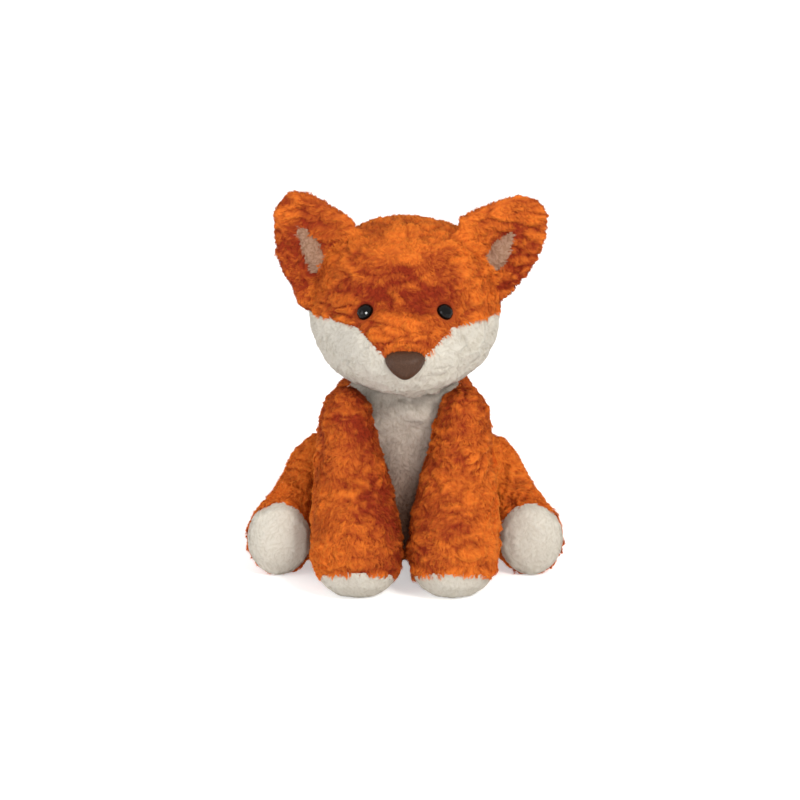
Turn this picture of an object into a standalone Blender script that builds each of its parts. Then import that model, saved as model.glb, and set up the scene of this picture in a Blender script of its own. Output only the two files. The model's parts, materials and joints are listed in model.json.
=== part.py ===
"""A sitting plush fox, taken apart into the panels, fillings and fittings it is sewn from.

Metres, +Z up. The fox faces -Y and sits on the plane Z = 0, with the middle of its seat at
the origin. Left and right are the fox's own, so its left is at +X.
"""

import math

import bmesh
import bpy
import numpy as np
from mathutils import Matrix, Vector

SIDES = {"left": 1, "right": -1}
INTO_HEAD = Matrix.Rotation(-math.pi / 2, 4, "X")

# Cloth and fit: a wall is the backing with its pile, measured to the mean surface of the pile
wall = 0.006
filling_gap = 0.0005
seam_gap = 0.0003
swing_gap = 0.0006
floor_cut = 0.0005
overrun = 0.030

# Facets of the stuffed forms: the outer skin, and the coarser surface inside it
SKIN_FACETS = 26
FILLING_FACETS = 16
FILLING_RINGS = 9
BALL_FACETS = 32
FITTING_FACETS = 20
SHANK_FACETS = 16
PATH_STEPS = 240
SMOOTH_ANGLE = math.radians(35.0)

# Torso
torso_height = 0.1345
torso_half_width = 0.0560
torso_half_depth = 0.0530
torso_lean = 0.0120
torso_seat_round = 0.0300
torso_neck_round = 0.0120
torso_end_power_share = 2.6
torso_rings = 15
torso_height_shares = (0.0, 0.22, 0.40, 0.58, 0.74, 0.86, 0.93, 1.0)
torso_width_shares = (0.95, 1.0, 0.99, 0.95, 0.90, 0.81, 0.60, 0.56)
torso_depth_shares = (0.98, 1.0, 0.98, 0.90, 0.81, 0.73, 0.62, 0.59)
torso_lean_shares = (0.0, 0.0, 0.10, 0.28, 0.52, 0.80, 0.96, 1.0)

# Seat pouch of pellets, which fills the bottom of the torso
pouch_top = 0.0260

# Chest panel: its outline seen from the front
chest_top_half_width = 0.0350
chest_mid_half_width = 0.0250
chest_foot_half_width = 0.0180
chest_mid_height = 0.0700
chest_foot_height = 0.0180
chest_wrap = 0.0150

# Head
head_rise = 0.0375
head_height = torso_height + head_rise
head_forward = 0.0180
head_half_width = 0.0620
head_above = 0.0595
head_below = 0.0475
head_front = 0.0470
head_back = 0.0500
head_power_share = 2.2
head_jowl_power_share = 0.8
muzzle_forward = 0.0300
muzzle_drop = 0.0160
muzzle_half_width = 0.0400
muzzle_half_depth = 0.0430
muzzle_half_height = 0.0310
head_blend_power_share = 7.0
head_rings = 20
head_facets = 36
head_filling_rings = 11
head_filling_facets = 20
head_swing = math.radians(20.0)

# Cheek and chin panel: its upper edge seen from the front, from the bridge out to the side
cheek_tip_drop = 0.0270
cheek_nose_half_width = 0.0130
cheek_nose_drop = 0.0150
cheek_bend_half_width = 0.0300
cheek_bend_drop = 0.0010
cheek_side_rise = 0.0020
cheek_back = 0.0020

# Eyes: a dome on a shank, sunk in the pile, locked by a washer inside
eye_spread = 0.0257
eye_rise = 0.0085
eye_radius = 0.0056
eye_dome = 0.0052
eye_sink = 0.0014
eye_shank_radius = 0.0022
eye_shank_length = 0.0100
washer_radius = 0.0065
washer_thickness = 0.0015
washer_depth = 0.0080
washer_clearance = 0.0003

# Nose: a rounded triangle on a shank
nose_drop = 0.0210
nose_half_width = 0.0128
nose_above = 0.0085
nose_below = 0.0105
nose_thickness = 0.0095
nose_sink = 0.0040
nose_shank_radius = 0.0026
nose_shank_length = 0.0095
nose_washer_radius = 0.0065
nose_washer_depth = 0.0100
nose_facets = 30
nose_width_shares = (0.0, 0.70, 1.0, 0.62, 0.0, -0.62, -1.0, -0.70)
nose_height_shares = (1.0, 0.90, 0.30, -0.56, -1.0, -0.56, 0.30, 0.90)
nose_rings = 6
nose_power_share = 3.0

# Ears: thick cupped flaps, sewn along the upper corners of the head
ear_out = 0.0600
ear_rise = 0.0320
ear_forward = 0.0180
ear_reach = 0.0485
ear_half_thickness = 0.0075
ear_cup = 0.0100
ear_power_share = 4.0
ear_facets = 30
ear_rings = 5
ear_angle_shares = (-0.62, -0.48, -0.285, -0.03, 0.14, 0.26, 0.33, 0.40, 0.48, 0.565, 0.68,
                    0.81, 1.05)
ear_reach_shares = (0.67, 0.67, 0.42, 0.44, 0.55, 0.78, 0.94, 1.0, 0.94, 0.84, 0.79,
                    0.76, 0.50)
ear_tilts = {"left": math.radians(12.0), "right": math.radians(-3.0)}
ear_swing = math.radians(10.0)
ear_hinge_out = 0.0485
ear_hinge_rise = 0.0295
ear_hinge_slant = math.radians(30.0)
lining_half_length = 0.0200
lining_half_width = 0.0095
lining_rise = 0.0050
lining_out = 0.0020
lining_up = 0.0095
lining_slant = math.radians(24.0)
lining_facets = 18
lining_rings = 3
lining_angle_shares = (-0.5, -0.15, 0.2, 0.5, 0.8, 1.15)
lining_reach_shares = (1.0, 1.0, 0.80, 1.10, 0.80, 1.0)

# Front legs: a round top on the shoulder hinge, and a paw with a tilted sole
shoulder_out = 0.0380
shoulder_forward = 0.0540
shoulder_drop = 0.0320
shoulder_height = torso_height - shoulder_drop
shoulder_radius = 0.0245
shoulder_half_width = 0.0175
front_leg_half_width = 0.0250
front_leg_half_depth = 0.0240
front_paw_half_width = 0.0292
front_paw_half_depth = 0.0300
front_paw_out = 0.0310
front_paw_forward = 0.0860
front_paw_power_share = 2.2
front_leg_rings = 13
shoulder_lean_share = 0.25
front_leg_drift_share = 0.30
front_leg_fall_share = 0.52
front_leg_mouth_radius = 0.0110
front_leg_swing = math.radians(50.0)
front_sole_tilt = math.radians(24.0)
front_sole_height = 0.0220

# Hind legs: a round thigh on the hip hinge, and a foot with its sole to the front
hip_seam = 0.0525
hip_out = 0.0520
hip_forward = 0.0060
hip_height = 0.0435
thigh_half_width = 0.0300
thigh_radius = 0.0385
shin_out = 0.0695
shin_forward = 0.0240
shin_half_width = 0.0228
shin_half_height = 0.0295
shin_height = 0.0315
heel_out = 0.0810
heel_forward = 0.0460
foot_out = 0.0835
foot_forward = 0.0640
foot_half_width = 0.0215
foot_half_height = 0.0255
foot_round = 0.0140
foot_power_share = 2.6
hind_leg_rings = 13
hind_sole_depth = 0.0110

# Tail
tail_root = 0.0570
tail_root_radius = 0.0140
tail_root_height = 0.0250
tail_length = 0.0850
tail_radius = 0.0230
tail_tip_rise = 0.0080
tail_tip_length = 0.0240
tail_tip_round = 0.0340
tail_length_shares = (0.34, 0.62, 1.0)
tail_radius_shares = (0.92, 1.0, 0.62)
tail_rings = 11
tail_facets = 20
tail_filling_rings = 8
tail_filling_facets = 14


def clear_scene():
    for item in list(bpy.data.objects):
        bpy.data.objects.remove(item, do_unlink=True)


def plain_material(name, colour, roughness):
    material = bpy.data.materials.new(name)
    material.use_nodes = True
    shader = material.node_tree.nodes["Principled BSDF"]
    shader.inputs["Base Color"].default_value = (*colour, 1.0)
    shader.inputs["Roughness"].default_value = roughness
    shader.inputs["Metallic"].default_value = 0.0
    material.diffuse_color = (*colour, 1.0)
    return material


def make_object(name, points, faces):
    """A mesh object whose faces are turned to point outwards."""
    mesh = bpy.data.meshes.new(name)
    mesh.from_pydata([tuple(point) for point in points], [], faces)
    edit = bmesh.new()
    edit.from_mesh(mesh)
    if edit.calc_volume(signed=True) < 0.0:
        bmesh.ops.reverse_faces(edit, faces=edit.faces)
    edit.to_mesh(mesh)
    edit.free()
    item = bpy.data.objects.new(name, mesh)
    bpy.context.collection.objects.link(item)
    return item


def copy_object(item, name):
    double = item.copy()
    double.data = item.data.copy()
    double.name = name
    bpy.context.collection.objects.link(double)
    return double


def mirror(item, name):
    """The same piece on the other side of the fox."""
    double = copy_object(item, name)
    double.data.transform(Matrix.Diagonal((-1.0, 1.0, 1.0, 1.0)))
    double.data.flip_normals()
    return double


def drop(*items):
    for item in items:
        bpy.data.objects.remove(item, do_unlink=True)


def combine(item, other, operation="DIFFERENCE"):
    """Cuts item by other, joins them, or keeps what they share; other stays as it is."""
    change = item.modifiers.new("change", "BOOLEAN")
    change.operation = operation
    change.solver = "EXACT"
    change.object = other
    bpy.context.view_layer.update()
    graph = bpy.context.evaluated_depsgraph_get()
    mesh = bpy.data.meshes.new_from_object(item.evaluated_get(graph))
    item.modifiers.clear()
    item.data = mesh
    return item


def smooth_rows(rows, samples, closed=False):
    """Points on a smooth curve through the rows, evenly spread over the rows' count."""
    rows = np.asarray(rows, dtype=float)
    if closed:
        rows = np.vstack([rows[-1], rows, rows[0], rows[1]])
        spans = len(rows) - 3
    else:
        rows = np.vstack([2 * rows[0] - rows[1], rows, 2 * rows[-1] - rows[-2]])
        spans = len(rows) - 3
    places = np.linspace(0.0, spans, samples, endpoint=not closed)
    first = np.minimum(places.astype(int), spans - 1)
    part = (places - first)[:, None]
    before, start, end, after = (rows[first + step] for step in range(4))
    straight = start + part * 0.5 * (end - before)
    square = part ** 2 * (before - 2.5 * start + 2.0 * end - 0.5 * after)
    cube = part ** 3 * (1.5 * (start - end) + 0.5 * (after - before))
    return straight + square + cube


def rounding(share, power=2.0):
    """How wide a rounded end is, from 0 at its pole to 1 where the form is full."""
    rest = np.clip(1.0 - share, 0.0, 1.0)
    return (1.0 - rest ** power) ** (1.0 / power)


def ring_faces(rings, facets):
    """Faces of a closed form: a pole, rings of facets, and a second pole."""
    last = 1 + rings * facets
    faces = []
    for facet in range(facets):
        beside = (facet + 1) % facets
        faces.append((0, 1 + facet, 1 + beside))
        for ring in range(rings - 1):
            low = 1 + ring * facets
            high = low + facets
            faces.append((low + facet, high + facet, high + beside))
            faces.append((low + facet, high + beside, low + beside))
        low = last - facets
        faces.append((low + facet, last, low + beside))
    return faces


def shrink(item, inset):
    """Moves a form's surface inwards along its normals, or outwards by a negative inset."""
    edit = bmesh.new()
    edit.from_mesh(item.data)
    edit.normal_update()
    for point, normal in [(vert, vert.normal.copy()) for vert in edit.verts]:
        point.co -= normal * inset
    edit.to_mesh(item.data)
    edit.free()
    return item


def sweep(name, rows, rings, facets, start_round, end_round, start_power=2.0, end_power=2.0,
          facing=None):
    """A stuffed form along a spine: each row is a place, a half-width and a half-depth.

    Its rings lie square to the spine, or all face one way.
    """
    fine = smooth_rows(rows, PATH_STEPS)
    path = fine[:, :3]
    travel = np.concatenate([[0.0], np.cumsum(np.linalg.norm(np.diff(path, axis=0), axis=1))])
    length = travel[-1]
    turn = np.linspace(0.0, math.pi, rings + 2)[1:-1]
    angles = np.linspace(0.0, 2 * math.pi, facets, endpoint=False)
    nudge = length / len(path)

    def place(distance):
        return np.array([np.interp(distance, travel, path[:, axis]) for axis in range(3)])

    points = [path[0]]
    for distance in length * (1.0 - np.cos(turn)) / 2:
        along = facing if facing else place(distance + nudge) - place(distance - nudge)
        along = np.array(along) / np.linalg.norm(along)
        across = np.array([1.0, 0.0, 0.0]) - along[0] * along
        across /= np.linalg.norm(across)
        upward = np.cross(along, across)
        full = rounding(distance / start_round, start_power)
        full *= rounding((length - distance) / end_round, end_power)
        half_width = np.interp(distance, travel, fine[:, 3]) * full
        half_depth = np.interp(distance, travel, fine[:, 4]) * full
        ring = place(distance) + np.outer(np.cos(angles) * half_width, across)
        points.append(ring + np.outer(np.sin(angles) * half_depth, upward))
    points = np.vstack([*points, path[-1]])
    return make_object(name, points, ring_faces(rings, facets))


def turned(name, profile, facets=24):
    """A solid of revolution about its own Z axis, from a profile of radius and height."""
    points = [(0.0, 0.0, profile[0][1])]
    for radius, height in profile[1:-1]:
        for facet in range(facets):
            angle = 2 * math.pi * facet / facets
            points.append((radius * math.cos(angle), radius * math.sin(angle), height))
    points.append((0.0, 0.0, profile[-1][1]))
    return make_object(name, points, ring_faces(len(profile) - 2, facets))


def rod(name, radius, bottom, top, facets=24):
    return turned(name, [(0.0, bottom), (radius, bottom), (radius, top), (0.0, top)], facets)


def prism(name, outline, near, far):
    """A solid whose outline is seen from the front, from the depth near to the depth far."""
    count = len(outline)
    points = [(x, near, z) for x, z in outline] + [(x, far, z) for x, z in outline]
    faces = [tuple(range(count)), tuple(reversed(range(count, 2 * count)))]
    for corner in range(count):
        beside = (corner + 1) % count
        faces.append((corner, corner + count, beside + count, beside))
    return make_object(name, points, faces)


def block(name, low, high):
    outline = [(low[0], low[2]), (high[0], low[2]), (high[0], high[2]), (low[0], high[2])]
    return prism(name, outline, low[1], high[1])


def pillow(name, outline, rings, front, back, cup=0.0, power=2.0):
    """A flat-backed or lens-shaped solid: an outline round its centre, thinning to its edge.

    It is made in its own XZ plane, with its front towards -Y. The cup brings the rim forward.
    """
    outline = np.asarray(outline)
    facets = len(outline)
    share = np.sin(np.linspace(0.0, math.pi / 2, rings + 1))[1:]
    points = [(0.0, -front, 0.0)]
    for part in share:
        thick = max(1.0 - part ** power, 0.0) ** 0.5
        for x, z in outline * part:
            points.append((x, -front * thick - cup * part ** 2, z))
    for part in share[-2::-1]:
        thick = max(1.0 - part ** power, 0.0) ** 0.5
        for x, z in outline * part:
            points.append((x, back * thick - cup * part ** 2, z))
    points.append((0.0, back, 0.0))
    return make_object(name, points, ring_faces(2 * rings - 1, facets))


def move_mesh(item, matrix):
    item.data.transform(matrix)
    return item


def aim(place, direction):
    """A matrix that brings a turned solid's Z axis to a direction, at a place."""
    turn = Vector((0.0, 0.0, 1.0)).rotation_difference(Vector(direction))
    return Matrix.Translation(Vector(place)) @ turn.to_matrix().to_4x4()


def frontal(place, direction):
    """A matrix that brings a piece's front, its -Y side, to a direction, at a place."""
    turn = Vector((0.0, -1.0, 0.0)).rotation_difference(Vector(direction))
    return Matrix.Translation(Vector(place)) @ turn.to_matrix().to_4x4()


def about(place, axis, angle):
    """A turn by an angle about an axis through a place."""
    spot = Vector(place)
    return Matrix.Translation(spot) @ Matrix.Rotation(angle, 4, Vector(axis)) @ Matrix.Translation(-spot)


def cut_clear(items, solid, place, axis, turns):
    """Cuts pieces clear of a solid that turns about an axis through a place."""
    for turn in turns:
        swung = move_mesh(copy_object(solid, "swung"), about(place, axis, turn))
        for item in items:
            combine(item, swung)
        drop(swung)


def torso_rows():
    rows = []
    for up, wide, deep, lean in zip(torso_height_shares, torso_width_shares,
                                    torso_depth_shares, torso_lean_shares):
        height = -floor_cut + up * (torso_height + floor_cut)
        rows.append((0.0, -torso_lean * lean, height, torso_half_width * wide,
                     torso_half_depth * deep))
    return rows


def torso_form(name, inset=0.0, facets=SKIN_FACETS, rings=torso_rings):
    form = sweep(name, torso_rows(), rings, facets, torso_seat_round, torso_neck_round,
                 start_power=torso_end_power_share, end_power=torso_end_power_share)
    return shrink(form, inset)


def head_centre():
    return np.array([0.0, -head_forward, head_height])


def head_reach(ways):
    """How far the head's surface lies from its centre, along unit directions."""
    sizes = np.empty_like(ways)
    sizes[:, 0] = head_half_width
    sizes[:, 1] = np.where(ways[:, 1] < 0.0, head_front, head_back)
    sizes[:, 2] = np.where(ways[:, 2] < 0.0, head_below, head_above)
    power = (head_power_share + head_jowl_power_share * np.clip(-ways[:, 2], 0.0, 1.0))[:, None]
    skull = np.sum(np.abs(ways / sizes) ** power, axis=1) ** (-1.0 / power[:, 0])
    radii = np.array([muzzle_half_width, muzzle_half_depth, muzzle_half_height])
    start = np.array([0.0, muzzle_forward, muzzle_drop])
    square = np.sum((ways / radii) ** 2, axis=1)
    middle = np.sum(ways * start / radii ** 2, axis=1)
    rest = np.sum((start / radii) ** 2) - 1.0
    muzzle = (-middle + np.sqrt(middle ** 2 - square * rest)) / square
    blend = head_blend_power_share
    return (skull ** blend + muzzle ** blend) ** (1.0 / blend)


def head_level(points):
    """1 on the head's surface, less inside it."""
    ways = points - head_centre()
    lengths = np.linalg.norm(ways, axis=1)
    return lengths / head_reach(ways / lengths[:, None])


def head_normals(points):
    steps = np.eye(3) * seam_gap
    slopes = [head_level(points + step) - head_level(points - step) for step in steps]
    normals = np.stack(slopes, axis=1)
    return normals / np.linalg.norm(normals, axis=1)[:, None]


def head_form(name, inset=0.0, rings=head_rings, facets=head_facets):
    ways = [(0.0, 0.0, -1.0)]
    for ring in range(rings):
        tilt = math.pi * (ring + 1) / (rings + 1)
        for facet in range(facets):
            angle = 2 * math.pi * facet / facets
            ways.append((math.sin(tilt) * math.cos(angle), math.sin(tilt) * math.sin(angle),
                         -math.cos(tilt)))
    ways.append((0.0, 0.0, 1.0))
    ways = np.array(ways)
    points = head_centre() + ways * head_reach(ways)[:, None]
    return shrink(make_object(name, points, ring_faces(rings, facets)), inset)


def head_spot(x, z):
    """The point of the head's front surface at x and z, and the way it faces."""
    near, far = 0.0, muzzle_forward + muzzle_half_depth
    level = head_centre()[1]
    for _ in range(40):
        depth = (near + far) / 2
        inside = head_level(np.array([[x, level - depth, z]]))[0] < 1.0
        near, far = (depth, far) if inside else (near, depth)
    spot = np.array([[x, level - near, z]])
    return spot[0], head_normals(spot)[0]


def front_leg_rows():
    low = front_paw_half_depth - floor_cut
    fall = shoulder_height - low
    drift = front_paw_forward - shoulder_forward
    toe = low * math.sin(front_sole_tilt)
    return [
        (shoulder_out, -shoulder_forward + shoulder_lean_share * shoulder_radius,
         shoulder_height + shoulder_radius, shoulder_half_width, shoulder_radius),
        (shoulder_out, -shoulder_forward, shoulder_height, shoulder_half_width,
         shoulder_radius),
        ((shoulder_out + front_paw_out) / 2, -shoulder_forward - front_leg_drift_share * drift,
         shoulder_height - front_leg_fall_share * fall, front_leg_half_width,
         front_leg_half_depth),
        (front_paw_out, -front_paw_forward, low, front_paw_half_width,
         front_paw_half_depth),
        (front_paw_out, -front_paw_forward - toe, -floor_cut, front_paw_half_width,
         front_paw_half_depth),
    ]


def front_leg_form(name, inset=0.0, facets=SKIN_FACETS, rings=front_leg_rings):
    form = sweep(name, front_leg_rows(), rings, facets, shoulder_radius,
                 front_paw_half_depth, end_power=front_paw_power_share)
    return shrink(form, inset)


def hind_leg_rows():
    sole = foot_half_height - floor_cut
    return [
        (hip_out, -hip_forward + thigh_radius, hip_height, thigh_half_width, thigh_radius),
        (hip_out, -hip_forward, hip_height, thigh_half_width, thigh_radius),
        (shin_out, -shin_forward, shin_height, shin_half_width, shin_half_height),
        (heel_out, -heel_forward, sole, foot_half_width, foot_half_height),
        (foot_out, -foot_forward, sole, foot_half_width, foot_half_height),
    ]


def hind_leg_form(name, inset=0.0, facets=SKIN_FACETS, rings=hind_leg_rings):
    form = sweep(name, hind_leg_rows(), rings, facets, thigh_radius, foot_round,
                 end_power=foot_power_share, facing=(0.0, -1.0, 0.0))
    return shrink(form, inset)


def tail_rows():
    middle = tail_radius - floor_cut
    rises = (0.0, 0.0, tail_tip_rise)
    rows = [
        (0.0, tail_root - tail_root_radius, tail_root_height, tail_root_radius,
         tail_root_radius),
        (0.0, tail_root, tail_root_height, tail_root_radius, tail_root_radius),
    ]
    for back, wide, rise in zip(tail_length_shares, tail_radius_shares, rises):
        rows.append((0.0, tail_root + back * tail_length, middle + rise, wide * tail_radius,
                     wide * tail_radius))
    return rows


def tail_form(name, inset=0.0, facets=tail_facets, rings=tail_rings):
    form = sweep(name, tail_rows(), rings, facets, tail_root_radius, tail_tip_round)
    return shrink(form, inset)


def sit_flat(item):
    """Cuts away what would reach below the surface that the fox sits on."""
    far = torso_height + overrun
    ground = block("ground", (-far, -far, -overrun), (far, far, 0.0))
    combine(item, ground)
    drop(ground)


def round_profile(radius, half_length, steps):
    """Half an ellipse about the Z axis, from its lower pole to its upper one."""
    angles = [math.pi * step / steps for step in range(1, steps)]
    profile = [(radius * math.sin(angle), -half_length * math.cos(angle)) for angle in angles]
    return [(0.0, -half_length), *profile, (0.0, half_length)]


def shoulder_ball(name, side, clearance):
    ball = turned(name, round_profile(shoulder_radius + clearance,
                                      shoulder_half_width + clearance, 12), BALL_FACETS)
    place = (side * shoulder_out, -shoulder_forward, shoulder_height)
    return move_mesh(ball, aim(place, (1.0, 0.0, 0.0)))


def tail_ball(name, clearance):
    radius = tail_root_radius + clearance
    ball = turned(name, round_profile(radius, radius, 10), BALL_FACETS)
    return move_mesh(ball, Matrix.Translation((0.0, tail_root, tail_root_height)))


def hip_pocket(name, side):
    """The round seat of a thigh in the side of the torso."""
    pocket = rod(name, thigh_radius + swing_gap, hip_seam, hip_seam + overrun, BALL_FACETS)
    return move_mesh(pocket, aim((0.0, -hip_forward, hip_height), (side, 0.0, 0.0)))


def chest_outline(gap=0.0):
    points = [
        (chest_top_half_width + gap, torso_height + overrun),
        (chest_top_half_width + gap, shoulder_height),
        (chest_mid_half_width + gap, chest_mid_height),
        (chest_foot_half_width + gap, chest_foot_height - gap),
    ]
    return points + [(-x, z) for x, z in reversed(points)]


def cheek_outline(gap=0.0):
    level = head_height
    points = [
        (0.0, level - cheek_tip_drop + gap),
        (cheek_nose_half_width - gap, level - cheek_nose_drop + gap),
        (cheek_bend_half_width - gap, level - cheek_bend_drop + gap),
        (head_half_width + overrun, level + cheek_side_rise + gap),
        (head_half_width + overrun, level - head_below - overrun),
    ]
    return points + [(-x, z) for x, z in reversed(points[1:])]


def make_torso(skins):
    skin = torso_form("torso_skin")
    hollow = torso_form("hollow", wall, FILLING_FACETS, FILLING_RINGS)
    combine(skin, hollow)
    neck_hole = rod("neck_hole", torso_half_width * torso_width_shares[-1] - wall,
                    torso_height - wall - overrun, torso_height + overrun, FILLING_FACETS)
    move_mesh(neck_hole, Matrix.Translation((0.0, -torso_lean, 0.0)))
    combine(skin, neck_hole)
    filling = torso_form("torso_stuffing", wall + filling_gap, FILLING_FACETS, FILLING_RINGS)
    pouch = copy_object(filling, "seat_pellet_pouch")
    far = torso_height + overrun
    lower = block("lower", (-far, -far, -far), (far, far, pouch_top))
    upper = block("upper", (-far, -far, pouch_top - seam_gap), (far, far, far))
    combine(filling, lower)
    combine(pouch, upper)
    for side in SIDES.values():
        ball = shoulder_ball("ball", side, swing_gap)
        combine(skin, ball)
        combine(filling, ball)
        pocket = hip_pocket("pocket", side)
        combine(skin, pocket)
        drop(ball, pocket)
    root = tail_ball("root", swing_gap)
    for item in (skin, filling, pouch):
        combine(item, root)
    sit_flat(skin)
    chest = copy_object(skin, "chest_panel")
    front = prism("front", chest_outline(), -far, -chest_wrap)
    combine(chest, front, "INTERSECT")
    behind = prism("behind", chest_outline(seam_gap), -far, seam_gap - chest_wrap)
    combine(skin, behind)
    drop(hollow, neck_hole, lower, upper, root, front, behind)
    skins.update(torso_skin=skin, chest_panel=chest, torso_stuffing=filling,
                 seat_pellet_pouch=pouch)


def make_head(skins):
    shell = head_form("head_crown_skin")
    hollow = head_form("hollow", wall, head_filling_rings, head_filling_facets)
    combine(shell, hollow)
    filling = head_form("head_stuffing", wall + filling_gap, head_filling_rings,
                        head_filling_facets)
    torso = torso_form("torso", -swing_gap)
    cut_clear((shell, filling), torso, (0.0, -torso_lean, torso_height), (0.0, 0.0, 1.0),
              np.linspace(-head_swing, head_swing, 5))
    drop(hollow, torso)
    spot, facing = head_spot(0.0, head_height - nose_drop)
    seat = frontal(spot - facing * nose_sink, facing)
    outline = nose_outline()
    nose = pillow("nose", outline, nose_rings, nose_thickness, 0.0, power=nose_power_share)
    shank = rod("shank", nose_shank_radius, -nose_sink / 2, nose_shank_length,
                SHANK_FACETS)
    move_mesh(shank, INTO_HEAD)
    combine(nose, shank, "UNION")
    bed = prism("bed", [(x * (1 + swing_gap / nose_half_width), z * (1 + swing_gap / nose_below))
                        for x, z in outline], -overrun, seam_gap)
    hole = rod("hole", nose_shank_radius + washer_clearance, -overrun, overrun, SHANK_FACETS)
    move_mesh(hole, INTO_HEAD)
    inward = nose_washer_depth - nose_sink
    washer = rod("nose_washer", nose_washer_radius, inward, inward + washer_thickness,
                 FITTING_FACETS)
    move_mesh(washer, INTO_HEAD)
    combine(washer, hole)
    pocket = rod("pocket", nose_washer_radius + filling_gap, -overrun,
                 nose_shank_length + filling_gap, FITTING_FACETS)
    move_mesh(pocket, INTO_HEAD)
    for item in (nose, bed, hole, washer, pocket):
        move_mesh(item, seat)
    combine(shell, bed)
    combine(shell, hole)
    combine(filling, pocket)
    drop(shank, bed, hole, pocket)
    skins.update(nose=nose, nose_washer=washer)
    for name, side in SIDES.items():
        spot, facing = head_spot(side * eye_spread, head_height + eye_rise)
        seat = spot - facing * eye_sink
        profile = [(0.0, -eye_shank_length), (eye_shank_radius, -eye_shank_length),
                   (eye_shank_radius, 0.0)]
        steps = 7
        for step in range(steps):
            angle = math.pi / 2 * step / steps
            profile.append((eye_radius * math.cos(angle), eye_dome * math.sin(angle)))
        profile.append((0.0, eye_dome))
        eye = move_mesh(turned("eye_" + name, profile, FITTING_FACETS), aim(seat, facing))
        shaft_radius = eye_shank_radius + washer_clearance
        bed_radius = eye_radius + washer_clearance
        bed = turned("bed", [(0.0, -overrun), (shaft_radius, -overrun),
                             (shaft_radius, -seam_gap), (bed_radius, -seam_gap),
                             (bed_radius, overrun), (0.0, overrun)], FITTING_FACETS)
        move_mesh(bed, aim(seat, facing))
        combine(shell, bed)
        ring = rod("eye_washer_" + name, washer_radius, -washer_thickness, 0.0,
                   FITTING_FACETS)
        move_mesh(ring, aim(spot - facing * washer_depth, facing))
        shaft = rod("shaft", shaft_radius, -overrun, overrun, FITTING_FACETS)
        move_mesh(shaft, aim(seat, facing))
        combine(ring, shaft)
        pocket = rod("pocket", washer_radius + filling_gap, -eye_shank_length,
                     washer_depth, FITTING_FACETS)
        move_mesh(pocket, aim(spot - facing * washer_depth, facing))
        combine(filling, pocket)
        drop(bed, shaft, pocket)
        skins["eye_" + name] = eye
        skins["eye_washer_" + name] = ring
    far = head_height + overrun
    cheek = copy_object(shell, "cheek_panel")
    below = prism("below", cheek_outline(), -far, cheek_back)
    combine(cheek, below, "INTERSECT")
    wider = prism("wider", cheek_outline(seam_gap), -far, cheek_back + seam_gap)
    combine(shell, wider)
    drop(below, wider)
    skins.update(head_crown_skin=shell, cheek_panel=cheek, head_stuffing=filling)


def nose_outline():
    corners = []
    for wide, high in zip(nose_width_shares, nose_height_shares):
        corners.append((nose_half_width * wide,
                        high * (nose_above if high > 0.0 else nose_below)))
    return smooth_rows(corners, nose_facets, closed=True)


def ear_outline():
    """The rim of an ear round its centre, turning from the head's top out to its side."""
    rows = []
    for turn, reach in zip(ear_angle_shares, ear_reach_shares):
        angle = math.pi * turn
        rows.append((ear_reach * reach * math.cos(angle), ear_reach * reach * math.sin(angle)))
    return smooth_rows(rows, ear_facets, closed=True)


def ear_hinge(side):
    """A point on the line that an ear folds about, and the line's way."""
    place = (side * ear_hinge_out, -ear_forward, head_height + ear_hinge_rise)
    return place, (-side * math.sin(ear_hinge_slant), 0.0, math.cos(ear_hinge_slant))


def ear_place(name):
    side = SIDES[name]
    spot = (side * ear_out, -ear_forward, head_height + ear_rise)
    lean = Matrix.Rotation(side * ear_tilts[name], 4, "Y")
    return Matrix.Translation(spot) @ lean


def lining_outline():
    """A narrow leaf, pointed at its upper end."""
    rows = []
    for turn, reach in zip(lining_angle_shares, lining_reach_shares):
        angle = math.pi * turn
        rows.append((lining_half_width * reach * math.cos(angle),
                     lining_half_length * reach * math.sin(angle)))
    return smooth_rows(rows, lining_facets, closed=True)


def make_ears(skins):
    head = head_form("head", -seam_gap)
    for name, side in SIDES.items():
        mirror = np.array([side, 1.0])
        outline = ear_outline() * mirror
        ear = pillow("ear_" + name, outline, ear_rings, ear_half_thickness,
                     ear_half_thickness, ear_cup, ear_power_share)
        lining = pillow("ear_lining_" + name, lining_outline() * mirror,
                        lining_rings, ear_half_thickness + lining_rise, 0.0,
                        power=ear_power_share)
        slant = Matrix.Rotation(side * lining_slant, 4, "Y")
        move_mesh(lining, Matrix.Translation((side * lining_out, 0.0, lining_up)) @ slant)
        swollen = pillow("swollen", outline, ear_rings, ear_half_thickness + seam_gap,
                         ear_half_thickness, ear_cup, ear_power_share)
        combine(lining, swollen)
        for item in (ear, lining):
            move_mesh(item, ear_place(name))
        cut_clear((ear, lining), head, *ear_hinge(side), (-ear_swing, 0.0, ear_swing))
        drop(swollen)
        skins["ear_" + name] = ear
        skins["ear_lining_" + name] = lining
    drop(head)


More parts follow.
